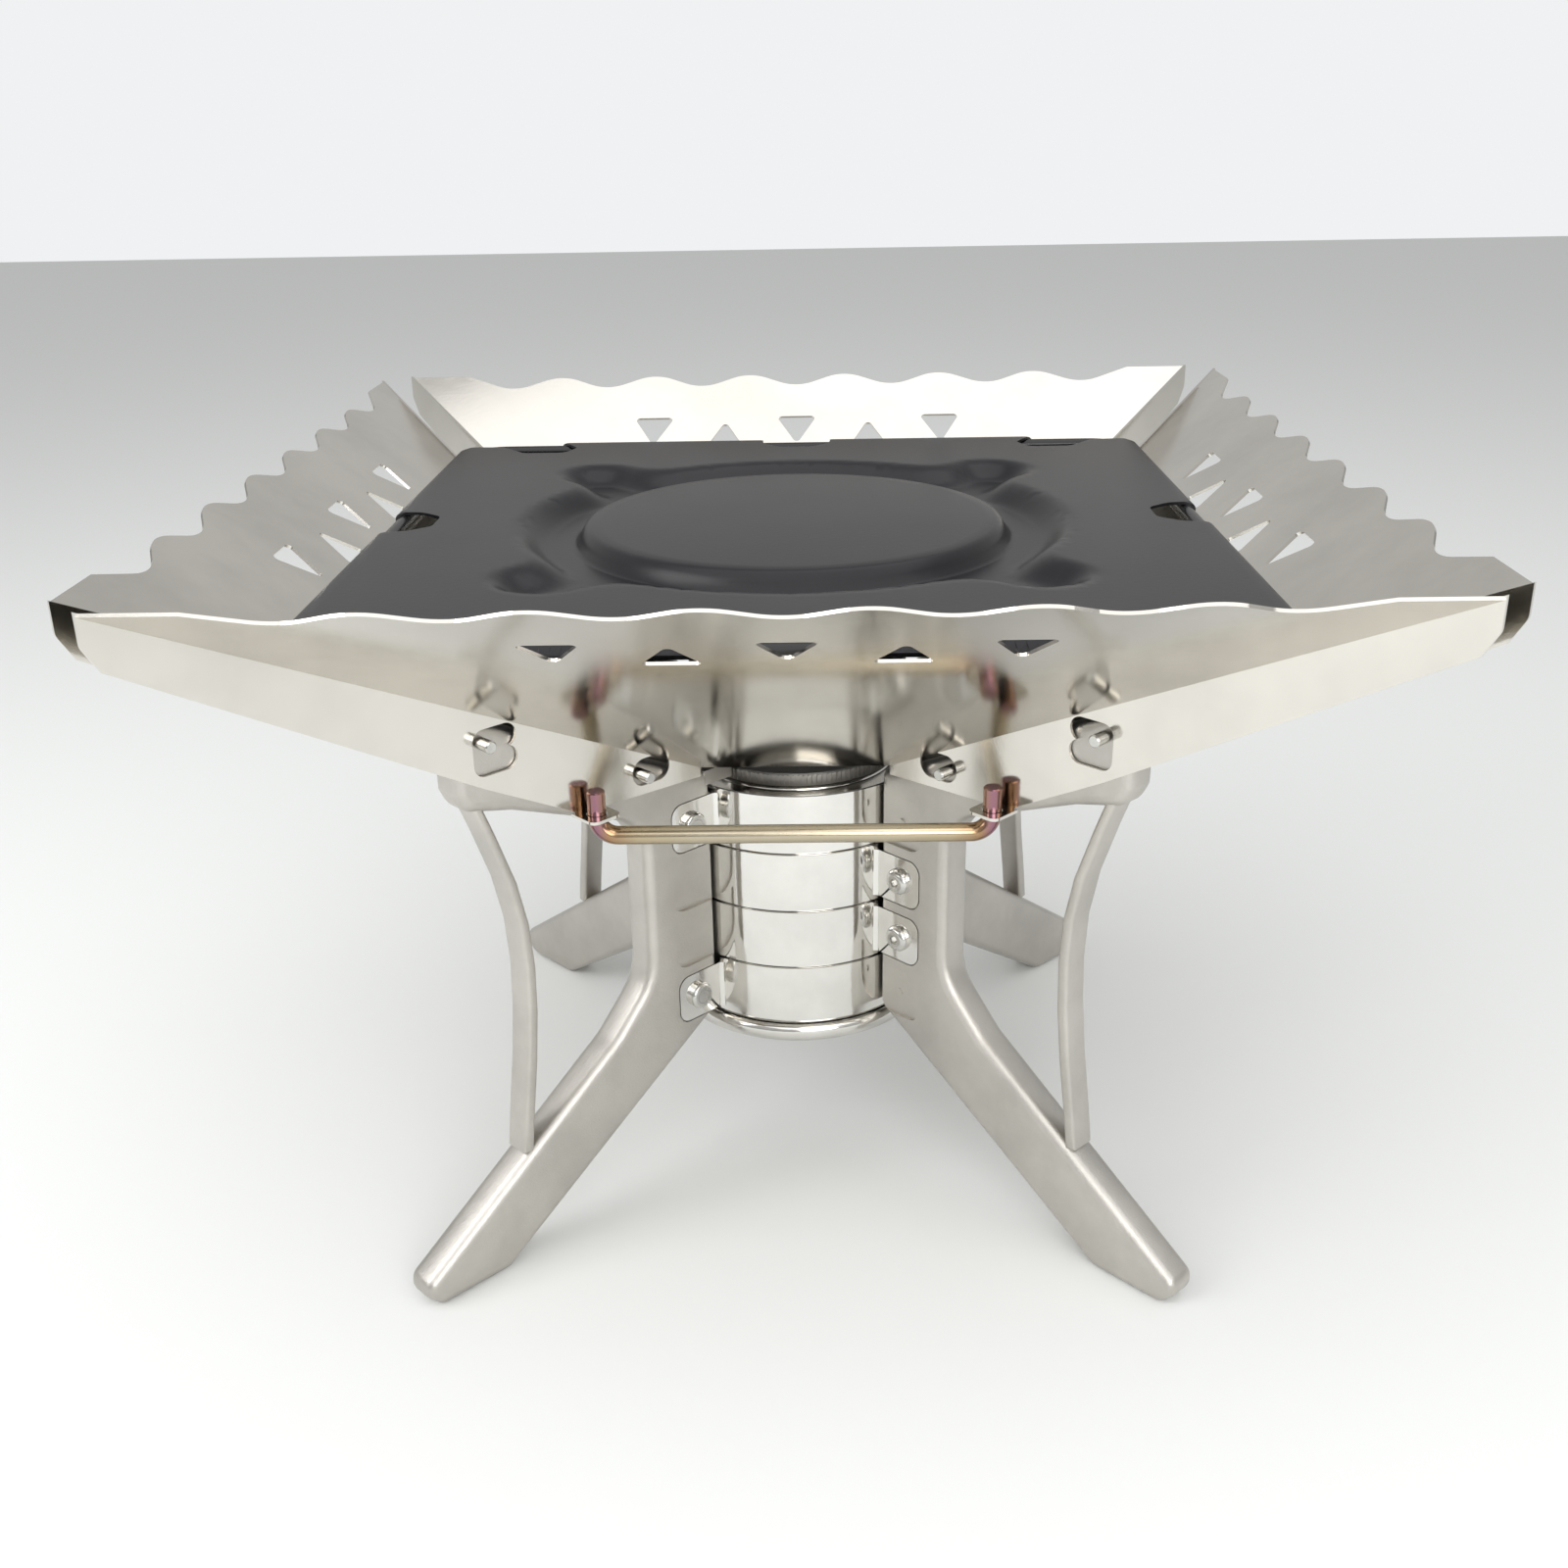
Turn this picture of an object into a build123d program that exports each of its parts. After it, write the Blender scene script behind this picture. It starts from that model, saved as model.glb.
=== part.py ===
from build123d import *
from math import asin, atan2, cos, degrees, hypot, pi, radians, sin, sqrt, tan
import os

# Portable fire pit, in millimetres. The column stands on the Z axis, the floor is z = 0,
# the front of the pit looks along -Y. Four cast legs stand on the diagonals and hold four
# steel side panels, which carry a tray.

# Column and its bands
band_outer_radius = 46.0
strap_thickness = 1.0
band_height = 21.0
band_gap = 1.0
lowest_band_z = 60.0
band_count = 4
tube_clearance = 0.3
tube_wall = 1.4

# Cast legs, outlines in (distance from the axis, height)
leg_thickness = 13.0
leg_band_clearance = 1.0
spine_outer_radius = 77.0
foot_sole_start = 145.7
foot_sole_end = 170.0
foot_tip_radius = 176.0
foot_tip_height = 10.0
foot_upper_height = 66.7
foot_upper_radius = 93.8
strut_foot_radius = 134.7
strut_waist_radius = 127.0
strut_top_radius = 142.5
strut_width = 7.5
arm_end_radius = 147.0
arm_depth = 25.0
arm_drop = 2.5
leg_edge_round = 2.0
sole_notch_count = 3
sole_notch_size = 1.6
horn_clearance = 1.0
horn_height = 5.5

# Tabs, pockets and their screws
tab_outer_radius = 65.4
tab_height = 17.6
tab_corner = 4.5
pocket_clearance = 0.4
pocket_inner_radius = 50.0
screw_radius_from_axis = 56.5
screw_diameter = 5.0
screw_head_diameter = 9.5
screw_head_height = 2.7
screw_hole_clearance = 0.3
socket_size = 3.0
socket_depth = 1.6
nut_diameter = 9.6
nut_height = 2.6
nut_clearance = 0.1
strap_bend = 2.0

# Side panels, in sheet steel
sheet = 1.0
panel_low_reach = 43.0
panel_low_z = 157.0
panel_top_reach = 180.7
panel_top_z = 253.0
flange_gap = 0.4
wave_pitch = 41.3
wave_depth = 9.5
wave_troughs = 7
wave_round = 17.0
vent_width = 17.5
vent_height = 16.5
vent_pitch = 30.6
vent_base_low = 122.0
vent_down_lift = 2.5
vent_round = 1.6
small_hole_radius_from_axis = 155.5
small_hole_height = 211.6
small_hole_diameter = 4.0
flange_tip_depth = 13.0
flange_mid_radius = 138.0
flange_mid_depth = 24.0
flange_lip_inner_radius = 93.0
flange_lip_outer_radius = 107.0
flange_lip_z = 155.6
flange_end_z = 153.8

# Pegs that the panels hang on
peg_diameter = 4.0
peg_reach = 6.0
peg_chamfer = 0.4
peg_places = ((138.4, 190.0), (79.3, 162.6))
slot_height = 7.8
slot_width = 15.6
slot_end_gap = 0.8
lower_lobe_drop = 7.2
inner_slot_height = 9.4

# Lock rod across the front
rod_diameter = 6.0
rod_half_span = 62.5
rod_reach = 80.0
rod_run_z = 149.0
rod_top_z = 164.5
rod_bend = 6.5
rod_hole_clearance = 0.3
lip_rim = 2.5
lip_corner = 2.5
rod_chamfer = 0.4

# Canister, base and cap
canister_shoulder_z = 143.0
canister_neck_radius = 33.0
canister_neck_top = 148.1
shoulder_round = 5.0
rim_round = 3.0
base_radius = 48.5
base_low_z = 52.0
base_wall = 1.4
cap_radius = 36.5
cap_low_z = 146.8
cap_top_z = 151.4
cap_wall = 2.0
cap_edge_round = 0.5
neck_ring_radius = 36.0
neck_ring_height = 3.2
seal_gap = 0.3
seal_width = 4.0
cap_thread_clearance = 0.3
cap_rise = 6.0

# Tray
wire_diameter = 4.5
tray_sheet = 1.0
hem_clearance = 0.15
tray_panel_clearance = 0.4
tray_top_z = 232.2
wire_corner = 16.0
dome_radius = 73.0
moat_radius = 88.0
moat_depth = 6.0
dome_crown = 1.5
hem_length = 150.0
hem_notch = 26.0
corner_slot_length = 62.0
corner_slot_width = 9.0
corner_slot_inset = 7.0
recess_start = 84.0
recess_end = 122.0
recess_width = 30.0
recess_depth = 2.5

# Values that follow from the ones above
band_inner_radius = band_outer_radius - strap_thickness
tube_radius = band_inner_radius - tube_clearance
band_pitch = band_height + band_gap
band_centres = [lowest_band_z + band_height / 2 + k * band_pitch for k in range(band_count)]
column_top_z = lowest_band_z + band_count * band_pitch
canister_low_z = lowest_band_z - 1.0
half_leg = leg_thickness / 2
tab_offset = half_leg - strap_thickness
leg_inner_radius = band_outer_radius + leg_band_clearance
slope = (panel_top_z - panel_low_z) / (panel_top_reach - panel_low_reach)
slope_angle = degrees(atan2(panel_top_z - panel_low_z, panel_top_reach - panel_low_reach))
slant_length = hypot(panel_top_z - panel_low_z, panel_top_reach - panel_low_reach)
flange_inner = half_leg + flange_gap
fold_rise = sheet / cos(radians(slope_angle))
flange_outer = flange_inner + sheet
fold_low_radius = panel_low_reach * sqrt(2) - flange_outer
fold_top_radius = panel_top_reach * sqrt(2) - flange_outer
corner_half_low = panel_low_reach - flange_outer * sqrt(2)
corner_half_top = panel_top_reach - flange_outer * sqrt(2)

leg_names = {225: "leg_front_left", 315: "leg_front_right", 45: "leg_rear_right", 135: "leg_rear_left"}
frame_a = (225, 45)
frame_b = (315, 135)

os.makedirs("parts", exist_ok=True)


def save(part, name):
    part.label = name
    export_step(part, f"parts/{name}.step")


def fold_height(radius):
    """Height of a panel's fold line at a distance from the axis, on a leg's diagonal."""
    return panel_low_z + ((radius + flange_outer) / sqrt(2) - panel_low_reach) * slope


def diagonal_plane(angle, offset=0.0):
    """Upright plane through a leg: X runs outwards, Y is up, offset is towards angle - 90."""
    side = (sin(radians(angle)), -cos(radians(angle)), 0)
    origin = tuple(offset * value for value in side)
    return Plane(origin=origin, x_dir=(cos(radians(angle)), sin(radians(angle)), 0), z_dir=side)


def turned(part, angle):
    """A copy of a part turned about the column."""
    return part.rotate(Axis.Z, angle)


def foot_upper(radius):
    """Height of the lower leg's upper edge."""
    fall = (foot_upper_height - foot_tip_height) / (foot_tip_radius - foot_upper_radius)
    return foot_upper_height - (radius - foot_upper_radius) * fall


def arm_top(radius):
    """Height of the upper arm's top edge, just under the panels' folds."""
    return fold_height(radius) - arm_drop


def near(shape_list, point, count=1):
    """The vertices nearest to a point of the sketch."""
    return shape_list.sort_by_distance((point[0], point[1], 0))[:count]


# Cast leg: spine, lower leg with its foot, upper arm and the slim bowed strut between them
leg_low_z = lowest_band_z + 2.0
spine_low_z = 84.0
spine_high_z = 142.0
strut_low_outer = (strut_foot_radius, foot_upper(strut_foot_radius))
strut_low_inner = (strut_foot_radius - strut_width * 1.3, foot_upper(strut_foot_radius - strut_width * 1.3))
strut_top_outer = (strut_top_radius, arm_top(strut_top_radius) - arm_depth + 4)
strut_top_inner = (strut_top_radius - strut_width * 1.15, arm_top(strut_top_radius - strut_width) - arm_depth)
strut_waist_z = 112.0
spine_fillet = 16.0
corner_fillet = 5.0
horn_low_z = column_top_z + 1.0
horn_root = leg_inner_radius + 3.0
horn_side_inset = 0.2


def leg_shape(has_horn):
    top_inner_z = arm_top(fold_low_radius)
    horn_radius = cap_radius + horn_clearance
    with BuildPart() as leg:
        with BuildSketch(diagonal_plane(0)) as outline:
            with BuildLine():
                Polyline((leg_inner_radius, top_inner_z), (leg_inner_radius, leg_low_z),
                         (foot_sole_start, 0), (foot_sole_end, 0), (foot_tip_radius, foot_tip_height * 0.4),
                         (foot_tip_radius, foot_tip_height), strut_low_outer)
                ThreePointArc(strut_low_outer, (strut_waist_radius, strut_waist_z), strut_top_outer)
                Polyline(strut_top_outer, (arm_end_radius, strut_top_outer[1] + 9),
                         (arm_end_radius, arm_top(arm_end_radius)),
                         (fold_low_radius, top_inner_z), (leg_inner_radius, top_inner_z))
            make_face()
            fillet(near(outline.vertices(), (foot_tip_radius, foot_tip_height)), 6.0)
            fillet(near(outline.vertices(), (foot_tip_radius, foot_tip_height * 0.4)), 3.0)
            fillet(near(outline.vertices(), (foot_sole_end, 0)), 3.0)
            fillet(near(outline.vertices(), (foot_sole_start, 0)), 3.0)
            fillet(near(outline.vertices(), strut_low_outer), 10.0)
            fillet(near(outline.vertices(), strut_top_outer), 4.0)
            fillet(near(outline.vertices(), (arm_end_radius, arm_top(arm_end_radius))), 7.0)
            fillet(near(outline.vertices(), (fold_low_radius, top_inner_z)), 6.0)
            fillet(near(outline.vertices(), (leg_inner_radius, leg_low_z)), 3.0)
            with BuildSketch(mode=Mode.SUBTRACT) as window:
                with BuildLine():
                    Polyline(strut_top_inner, (spine_outer_radius, spine_high_z),
                             (spine_outer_radius, spine_low_z), (foot_upper_radius, foot_upper_height),
                             strut_low_inner)
                    ThreePointArc(strut_low_inner, (strut_waist_radius - strut_width, strut_waist_z),
                                  strut_top_inner)
                make_face()
                fillet(near(window.vertices(), (spine_outer_radius, spine_high_z)), 14.0)
                fillet(near(window.vertices(), (spine_outer_radius, spine_low_z)), spine_fillet)
                fillet(near(window.vertices(), (foot_upper_radius, foot_upper_height)), 14.0)
                fillet(near(window.vertices(), strut_low_inner), corner_fillet)
                fillet(near(window.vertices(), strut_top_inner), corner_fillet)
        extrude(amount=half_leg, both=True)
        sides = leg.faces().filter_by(lambda face: abs(face.normal_at().dot(diagonal_plane(0).z_dir)) > 0.99)
        fillet(sides.edges(), leg_edge_round)
        if has_horn:
            with BuildSketch(diagonal_plane(0)):
                with BuildLine():
                    Polyline((horn_radius, horn_low_z), (horn_root, horn_low_z),
                             (horn_root, top_inner_z), (horn_radius, top_inner_z), close=True)
                make_face()
            extrude(amount=half_leg - horn_side_inset, both=True)
        for side in (-1, 1):
            pocket_plane = diagonal_plane(0, side * tab_offset)
            with BuildSketch(pocket_plane):
                for centre in band_centres:
                    width = tab_outer_radius + pocket_clearance - (leg_inner_radius - 3)
                    with Locations((leg_inner_radius - 3 + width / 2, centre)):
                        Rectangle(width, tab_height + 2 * pocket_clearance)
            extrude(amount=side * strap_thickness * 1.5, mode=Mode.SUBTRACT)
        with BuildSketch(diagonal_plane(0)):
            for centre in band_centres:
                with Locations(((leg_inner_radius - 3 + pocket_inner_radius) / 2, centre)):
                    Rectangle(pocket_inner_radius - leg_inner_radius + 3, tab_height + 2 * pocket_clearance)
        extrude(amount=leg_thickness, both=True, mode=Mode.SUBTRACT)
        with BuildSketch(diagonal_plane(0)):
            with Locations(*[(screw_radius_from_axis, centre) for centre in band_centres]):
                Circle(screw_diameter / 2 + screw_hole_clearance)
            with Locations(*peg_places):
                Circle(peg_diameter / 2)
        extrude(amount=leg_thickness, both=True, mode=Mode.SUBTRACT)
    return leg.part


leg_with_horn = leg_shape(has_horn=True)
leg_plain = leg_shape(has_horn=False)
for leg_angle, leg_name in leg_names.items():
    save(turned(leg_with_horn if leg_angle in frame_a else leg_plain, leg_angle), leg_name)


# Half straps: a half ring round the tube that ends in a flat tab on either leg of its frame
def strap_half():
    tab_length = tab_outer_radius - band_inner_radius
    with BuildPart() as strap:
        with BuildSketch(Plane.XY.offset(-band_height / 2)):
            Circle(band_outer_radius)
            Circle(band_inner_radius, mode=Mode.SUBTRACT)
            with Locations((0, tab_offset - band_outer_radius)):
                Rectangle(3 * band_outer_radius, 2 * band_outer_radius, mode=Mode.SUBTRACT)
        extrude(amount=band_height)
        with BuildSketch(Plane.XY.offset(-tab_height / 2)):
            for side in (-1, 1):
                with Locations((side * (band_inner_radius + tab_length / 2), half_leg - strap_thickness / 2)):
                    Rectangle(tab_length, strap_thickness)
        extrude(amount=tab_height)
        corners = strap.edges().filter_by(Axis.Y).sort_by(Axis.X)
        fillet(corners[:2] + corners[-2:], tab_corner)
        with BuildSketch(Plane.XZ):
            with GridLocations(2 * screw_radius_from_axis, 0, 2, 1):
                Circle(screw_diameter / 2 + screw_hole_clearance)
        extrude(amount=leg_thickness, both=True, mode=Mode.SUBTRACT)
        bends = strap.edges().filter_by(Axis.Z).filter_by(
            lambda edge: abs(edge.center().Y - half_leg) < 0.01 and abs(edge.center().X) < band_outer_radius)
        fillet(bends, strap_bend)
    return strap.part


plain_half = strap_half()
a_side = {0: "front_right", 180: "rear_left"}
b_side = {0: "rear_right", 180: "front_left"}
for legs, bands, sides in ((frame_a, (3, 0), a_side), (frame_b, (2, 1), b_side)):
    for turn, side_name in sides.items():
        for band in bands:
            half = turned(plain_half, legs[0] + turn).translate((0, 0, band_centres[band]))
            save(half, f"strap_{band_count - band}_{side_name}")


# Screws through both tabs and the leg, with their sleeve nuts, one group for each frame
def fasteners(legs, bands):
    with BuildPart() as screws:
        for angle in legs:
            for band in bands:
                place = (screw_radius_from_axis, band_centres[band])
                with BuildSketch(diagonal_plane(angle, half_leg)):
                    with Locations(place):
                        Circle(screw_head_diameter / 2)
                extrude(amount=screw_head_height)
                with BuildSketch(diagonal_plane(angle, half_leg)):
                    with Locations(place):
                        Circle(screw_diameter / 2)
                extrude(amount=-(leg_thickness + nut_height))
        rims = screws.edges().filter_by(GeomType.CIRCLE).filter_by(
            lambda edge: abs(edge.radius - screw_head_diameter / 2) < 0.01)
        outer_rims = rims.filter_by(lambda edge: max(
            abs(edge.center().dot(diagonal_plane(angle).z_dir)) for angle in legs) > half_leg + 1)
        fillet(outer_rims, screw_head_height * 0.8)
        for angle in legs:
            with BuildSketch(diagonal_plane(angle, half_leg + screw_head_height)):
                with Locations(*[(screw_radius_from_axis, band_centres[band]) for band in bands]):
                    RegularPolygon(socket_size / 2, 6, major_radius=False)
            extrude(amount=-socket_depth, mode=Mode.SUBTRACT)
    with BuildPart() as nuts:
        for angle in legs:
            with BuildSketch(diagonal_plane(angle, -half_leg)):
                with Locations(*[(screw_radius_from_axis, band_centres[band]) for band in bands]):
                    Circle(nut_diameter / 2)
                    Circle(screw_diameter / 2 + nut_clearance, mode=Mode.SUBTRACT)
            extrude(amount=-nut_height)
        rims = nuts.edges().filter_by(GeomType.CIRCLE).filter_by(
            lambda edge: abs(edge.radius - nut_diameter / 2) < 0.01)
        outer_rims = rims.filter_by(lambda edge: max(
            abs(edge.center().dot(diagonal_plane(angle).z_dir)) for angle in legs) > half_leg + 1)
        fillet(outer_rims, nut_height * 0.5)
    return screws.part, nuts.part


# Pegs: two plain pins across each upper arm, with a small chamfer at both ends
def pegs(legs):
    half_length = flange_outer + peg_reach
    with BuildPart() as pins:
        for angle in legs:
            with BuildSketch(diagonal_plane(angle, -half_length)):
                with Locations(*peg_places):
                    Circle(peg_diameter / 2)
            extrude(amount=2 * half_length)
        chamfer(pins.edges().filter_by(GeomType.CIRCLE), peg_chamfer)
    return pins.part


for legs, bands, tag in ((frame_a, (0, 3), "outer_straps"), (frame_b, (1, 2), "inner_straps")):
    screw_part, nut_part = fasteners(legs, bands)
    save(screw_part, f"screws_{tag}")
    save(nut_part, f"nuts_{tag}")
save(pegs(frame_a), "pegs_outer_frame")
save(pegs(frame_b), "pegs_inner_frame")

# Canister: a deep drawn tube with a rounded shoulder and a short neck
with BuildPart() as canister:
    with BuildSketch(Plane.XZ) as wall:
        with BuildLine():
            Polyline((tube_radius, canister_low_z), (tube_radius, canister_shoulder_z),
                     (canister_neck_radius, canister_shoulder_z), (canister_neck_radius, canister_neck_top),
                     (canister_neck_radius - tube_wall, canister_neck_top),
                     (canister_neck_radius - tube_wall, canister_shoulder_z - tube_wall),
                     (tube_radius - tube_wall, canister_shoulder_z - tube_wall),
                     (tube_radius - tube_wall, canister_low_z), close=True)
        make_face()
        fillet(near(wall.vertices(), (tube_radius, canister_shoulder_z)), shoulder_round)
        fillet(near(wall.vertices(), (tube_radius - tube_wall, canister_shoulder_z - tube_wall)),
               shoulder_round - tube_wall)
    revolve(axis=Axis.Z)
save(canister.part, "canister_tube")

# Base: a shallow pressed dish that closes the tube, with a rolled rim
with BuildPart() as base:
    with BuildSketch(Plane.XZ) as dish:
        with BuildLine():
            Polyline((0, base_low_z + 2), (tube_radius - 8, base_low_z + 2), (tube_radius - 5, base_low_z),
                     (base_radius, base_low_z), (base_radius, canister_low_z),
                     (0, canister_low_z), close=True)
        make_face()
        fillet(near(dish.vertices(), (base_radius, base_low_z)), rim_round)
        fillet(near(dish.vertices(), (base_radius, canister_low_z)), rim_round)
    revolve(axis=Axis.Z)
save(base.part, "canister_base")

# Polished ring that lies on the shoulder, round the neck
with BuildPart() as neck_ring:
    with BuildSketch(Plane.XY.offset(canister_shoulder_z)) as ring_face:
        Circle(neck_ring_radius)
        Circle(canister_neck_radius + 0.2, mode=Mode.SUBTRACT)
    extrude(amount=neck_ring_height)
    fillet(neck_ring.edges().group_by(Axis.Z)[-1].sort_by(SortBy.RADIUS)[-1], neck_ring_height * 0.4)
save(neck_ring.part, "neck_ring")

# Seal: a flat washer under the cap, on the neck's rim
with BuildPart() as seal:
    with BuildSketch(Plane.XY.offset(canister_neck_top + seal_gap)):
        Circle(canister_neck_radius)
        Circle(canister_neck_radius - seal_width, mode=Mode.SUBTRACT)
    extrude(amount=cap_top_z - cap_wall - canister_neck_top - 2 * seal_gap)
save(seal.part, "cap_seal")

# Cap: a turned lid with a skirt round the neck
with BuildPart() as cap:
    with BuildSketch(Plane.XY.offset(cap_low_z)):
        Circle(cap_radius)
    extrude(amount=cap_top_z - cap_low_z)
    fillet(cap.edges().group_by(Axis.Z)[-1], cap_edge_round)
    with BuildSketch(Plane.XY.offset(cap_low_z)):
        Circle(canister_neck_radius + cap_thread_clearance)
    extrude(amount=cap_top_z - cap_wall - cap_low_z, mode=Mode.SUBTRACT)
save(cap.part, "cap")


# Side panel: a sloping sheet with a wavy rim, and a flange folded down along either slanted side
def outward(angle):
    return cos(radians(angle)), sin(radians(angle))


def sheet_plane(angle):
    """Outer face of a panel's sheet: X runs along the rim, Y up the slope."""
    out = outward(angle)
    tangent = (-out[1], out[0], 0)
    lean = radians(slope_angle)
    normal = (out[0] * sin(lean), out[1] * sin(lean), -cos(lean))
    origin = (out[0] * panel_low_reach, out[1] * panel_low_reach, panel_low_z)
    return Plane(origin=origin, x_dir=tangent, z_dir=normal)


def slot_centre(peg, width):
    """A slot starts just outside its peg and runs inwards, the way the panel pulls off."""
    return peg[0] + peg_diameter / 2 + slot_end_gap - width / 2, peg[1]


def panel_shape():
    """The front panel; the other three are copies turned about the column."""
    angle = 270
    wave_end = (wave_troughs / 2) * wave_pitch
    troughs = [(k - (wave_troughs - 1) / 2) * wave_pitch for k in range(wave_troughs)]
    rim = [(-wave_end, slant_length)]
    for number, middle in enumerate(troughs):
        rim.append((middle, slant_length - wave_depth))
        if number < wave_troughs - 1:
            rim.append((middle + wave_pitch / 2, slant_length))
    rim.append((wave_end, slant_length))
    with BuildPart() as panel:
        with BuildSketch(sheet_plane(angle)) as blank:
            with BuildLine():
                Polyline((-corner_half_low, 0), (-corner_half_top, slant_length), *rim,
                         (corner_half_top, slant_length), (corner_half_low, 0), close=True)
            make_face()
            waves = [vertex for vertex in blank.vertices() if abs(vertex.X) < wave_end + 1 and vertex.Y > 1]
            fillet([vertex for vertex in waves if abs(vertex.X) < wave_end - 1], wave_round)
            with BuildSketch(mode=Mode.SUBTRACT) as vents:
                for step in range(-2, 3):
                    points_down = step % 2 == 0
                    base = vent_base_low + vent_height + vent_down_lift if points_down else vent_base_low
                    tip = base - vent_height if points_down else base + vent_height
                    middle = step * vent_pitch
                    with BuildLine():
                        Polyline((middle - vent_width / 2, base), (middle + vent_width / 2, base),
                                 (middle, tip), close=True)
                    make_face()
                fillet(vents.vertices(), vent_round)
        extrude(amount=-sheet)
        for turn in (-1, 1):
            corner = angle + turn * 45
            flange_plane = diagonal_plane(corner, turn * flange_inner)
            with BuildSketch(flange_plane) as flange:
                with BuildLine():
                    Polyline((fold_low_radius, fold_height(fold_low_radius) + fold_rise),
                             (fold_top_radius, fold_height(fold_top_radius) + fold_rise),
                             (fold_top_radius, fold_height(fold_top_radius) - flange_tip_depth * 0.6),
                             (fold_top_radius - 4, fold_height(fold_top_radius - 4) - flange_tip_depth),
                             (flange_mid_radius, fold_height(flange_mid_radius) - flange_mid_depth),
                             (flange_lip_outer_radius, flange_lip_z + 2.5),
                             (flange_lip_outer_radius - 3, flange_lip_z),
                             (flange_lip_inner_radius, flange_lip_z),
                             (fold_low_radius, flange_end_z), close=True)
                make_face()
                fillet(near(flange.vertices(), (fold_top_radius, fold_height(fold_top_radius)
                                                - flange_tip_depth * 0.6)), 4.0)
                outer_slot = slot_centre(peg_places[0], slot_width)
                inner_slot = slot_centre(peg_places[1], slot_width)
                with Locations(outer_slot, (outer_slot[0], outer_slot[1] - lower_lobe_drop)):
                    SlotOverall(slot_width, slot_height, mode=Mode.SUBTRACT)
                with Locations((outer_slot[0] + slot_height / 4, outer_slot[1] - lower_lobe_drop / 2)):
                    Rectangle(slot_width - slot_height / 2, lower_lobe_drop, mode=Mode.SUBTRACT)
                with Locations(inner_slot):
                    SlotOverall(slot_width, inner_slot_height, mode=Mode.SUBTRACT)
                with Locations((small_hole_radius_from_axis, small_hole_height)):
                    Circle(small_hole_diameter / 2, mode=Mode.SUBTRACT)
            extrude(amount=turn * sheet)
            # Lip turned out of the flange, with a hole for the lock rod
            hole_radius = rod_diameter / 2 + rod_hole_clearance
            hole_offset = (rod_reach - rod_half_span) / sqrt(2)
            hole_place = (rod_reach + rod_half_span) / sqrt(2)
            lip_reach = hole_offset + hole_radius + lip_rim
            with BuildSketch(Plane(origin=(0, 0, flange_lip_z), x_dir=flange_plane.x_dir, z_dir=(0, 0, 1))) as lip:
                with Locations((hole_place, -turn * (flange_inner + lip_reach) / 2)):
                    Rectangle(2 * (hole_radius + lip_rim), lip_reach - flange_inner)
                fillet(lip.vertices().sort_by(Axis.Y)[::turn][:2], lip_corner)
                with Locations((hole_place, -turn * hole_offset)):
                    Circle(hole_radius, mode=Mode.SUBTRACT)
            extrude(amount=sheet)
    return panel.part


front_panel = panel_shape()
for side_angle, side_name in {270: "front", 0: "right", 90: "rear", 180: "left"}.items():
    save(turned(front_panel, side_angle - 270), f"panel_{side_name}")

# Lock rod: a round bar across the front, its ends bent up through the panel's lips
with BuildPart() as rod:
    with BuildLine() as rod_path:
        FilletPolyline((-rod_half_span, -rod_reach, rod_top_z), (-rod_half_span, -rod_reach, rod_run_z),
                       (rod_half_span, -rod_reach, rod_run_z), (rod_half_span, -rod_reach, rod_top_z),
                       radius=rod_bend)
    with BuildSketch(Plane(origin=(-rod_half_span, -rod_reach, rod_top_z), z_dir=(0, 0, -1))):
        Circle(rod_diameter / 2)
    sweep(path=rod_path.wires()[0])
    chamfer(rod.faces().filter_by(Axis.Z).sort_by(Axis.Z)[-2:].edges(), rod_chamfer)
save(rod.part, "lock_rod")

# Tray frame: a square of round wire with rounded corners
hem_radius = wire_diameter / 2 + hem_clearance + tray_sheet
wire_z = tray_top_z - hem_radius
sheet_reach = panel_low_reach + (wire_z - panel_low_z) / slope - sheet / sin(radians(slope_angle))
wire_half = sheet_reach - (hem_radius + tray_panel_clearance) / sin(radians(slope_angle))
with BuildPart() as tray_frame:
    with BuildLine() as wire_path:
        with BuildSketch(Plane.XY.offset(wire_z), mode=Mode.PRIVATE) as loop:
            RectangleRounded(2 * wire_half, 2 * wire_half, wire_corner)
        add(loop.face().outer_wire())
    with BuildSketch(Plane(origin=(0, -wire_half, wire_z), z_dir=(1, 0, 0))):
        Circle(wire_diameter / 2)
    sweep(path=wire_path.wires()[0])
save(tray_frame.part, "tray_frame")

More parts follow.
